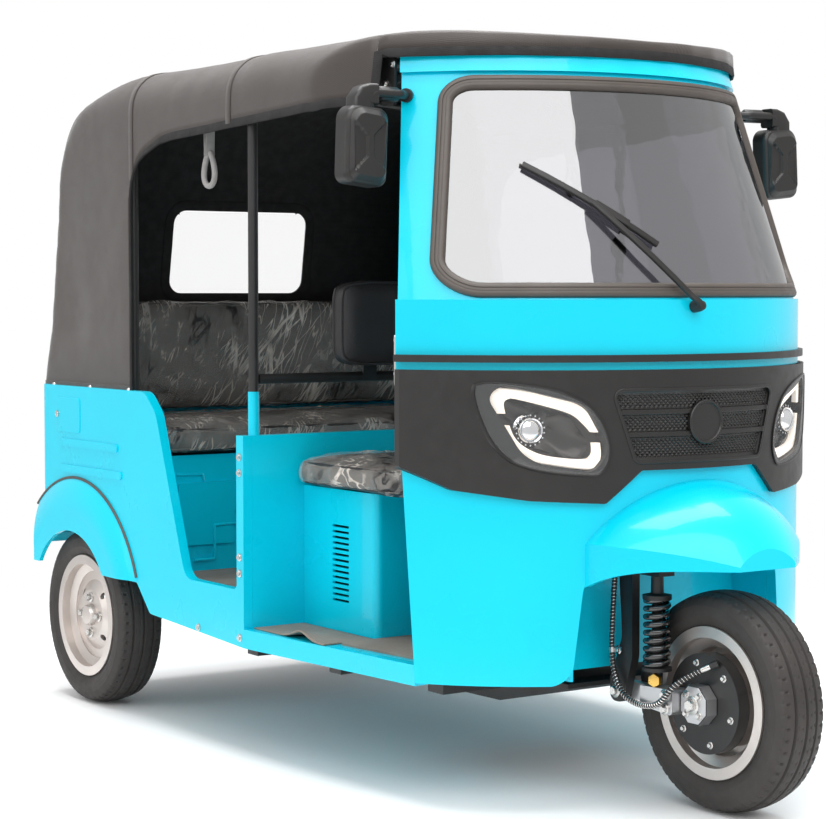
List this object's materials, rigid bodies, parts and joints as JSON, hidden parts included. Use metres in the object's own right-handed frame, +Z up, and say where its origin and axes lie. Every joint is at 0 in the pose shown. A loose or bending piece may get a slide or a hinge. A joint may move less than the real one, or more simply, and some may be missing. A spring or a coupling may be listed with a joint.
{
  "type": "auto rickshaw",
  "caption": "Passenger auto rickshaw with an open-sided cab, a curved windscreen, a cloth canopy over a rear bench, a steered single front wheel and wheels under flared rear fenders.",
  "frame": {"origin": "on the ground at the middle of the bounding box, midway between the axles and on the centre plane", "axes": "+Z up, -Y towards the nose, +X towards the vehicle's left side"},
  "size_m": [1.381, 2.4939, 1.7849],
  "materials": {
    "body_paint": "gloss cyan paint",
    "canopy_vinyl": "dark taupe coated cloth",
    "black_trim": "satin black",
    "black_paint": "satin black paint",
    "seal": "matt black-brown rubber",
    "glass": "clear glass",
    "clear_film": "clear sheet",
    "lamp": "clear lens over white reflector",
    "red_lamp": "red lens",
    "tyre": "matt rubber",
    "wheel_steel": "silver paint",
    "cast_alloy": "sand cast",
    "steel": "bare steel",
    "vinyl_seat": "black vinyl",
    "mat": "grey-taupe ribbed rubber",
    "cell_case": "matt black case",
    "hose": "black hose with bright spiral",
    "webbing": "grey webbing"
  },
  "bodies": {
    "body": {"chassis_rails": "black_paint", "cross_members": "black_paint", "tow_bar": "black_paint", "steering_head": "black_paint", "floor_pan": "body_paint", "floor_mats": "mat", "sills": "body_paint", "partition": "body_paint", "cowl_lower": "body_paint", "cowl_upper": "body_paint", "cowl_trim": "black_trim", "windscreen_glass": "glass", "windscreen_seal": "seal", "roof_visor": "body_paint", "front_mask": "black_trim", "front_grille": "black_trim", "headlamps": "lamp", "front_fender": "body_paint", "wheel_well": "body_paint", "wiper": "black_trim", "mirrors": "black_trim", "pillar_brackets": "steel", "side_panels": "body_paint", "back_panel": "body_paint", "rear_fenders": "body_paint", "rear_window": "clear_film", "canopy_frame": "black_paint", "canopy_roof": "canopy_vinyl", "canopy_rear": "canopy_vinyl", "driver_seat_box": "body_paint", "battery_pack": "cell_case", "driver_cushion": "vinyl_seat", "driver_backrest": "vinyl_seat", "passenger_seat_base": "body_paint", "passenger_cushion": "vinyl_seat", "passenger_backrest": "vinyl_seat", "tail_lamps": "red_lamp", "rear_bumper": "black_paint", "rear_axle": "black_paint", "leaf_springs": "black_paint", "grab_straps": "webbing"},
    "steering": {"steering_fork": "black_paint", "swing_arm": "cast_alloy", "shock_absorber": "steel", "front_hub": "black_paint", "brake_hose": "hose", "handlebar": "black_trim"},
    "front_wheel": {"front_tyre": "tyre", "front_rim": "wheel_steel"},
    "rear_wheel_right": {"rear_right_tyre": "tyre", "rear_right_rim": "wheel_steel"},
    "rear_wheel_left": {"rear_left_tyre": "tyre", "rear_left_rim": "wheel_steel"}
  },
  "joints": [
    {"name": "steer", "type": "hinge", "parent": "body", "child": "steering", "pos_m": [0, -0.84299, 0.5], "axis": [0, 0.3746, 0.9272], "range_deg": [-40, 40]},
    {"name": "front_wheel_spin", "type": "hinge", "parent": "steering", "child": "front_wheel", "pos_m": [0, -1, 0.247], "axis": [1, 0, 0], "continuous": true},
    {"name": "rear_right_spin", "type": "hinge", "parent": "body", "child": "rear_wheel_right", "pos_m": [-0.543, 1, 0.247], "axis": [1, 0, 0], "continuous": true},
    {"name": "rear_left_spin", "type": "hinge", "parent": "body", "child": "rear_wheel_left", "pos_m": [0.543, 1, 0.247], "axis": [1, 0, 0], "continuous": true}
  ]
}
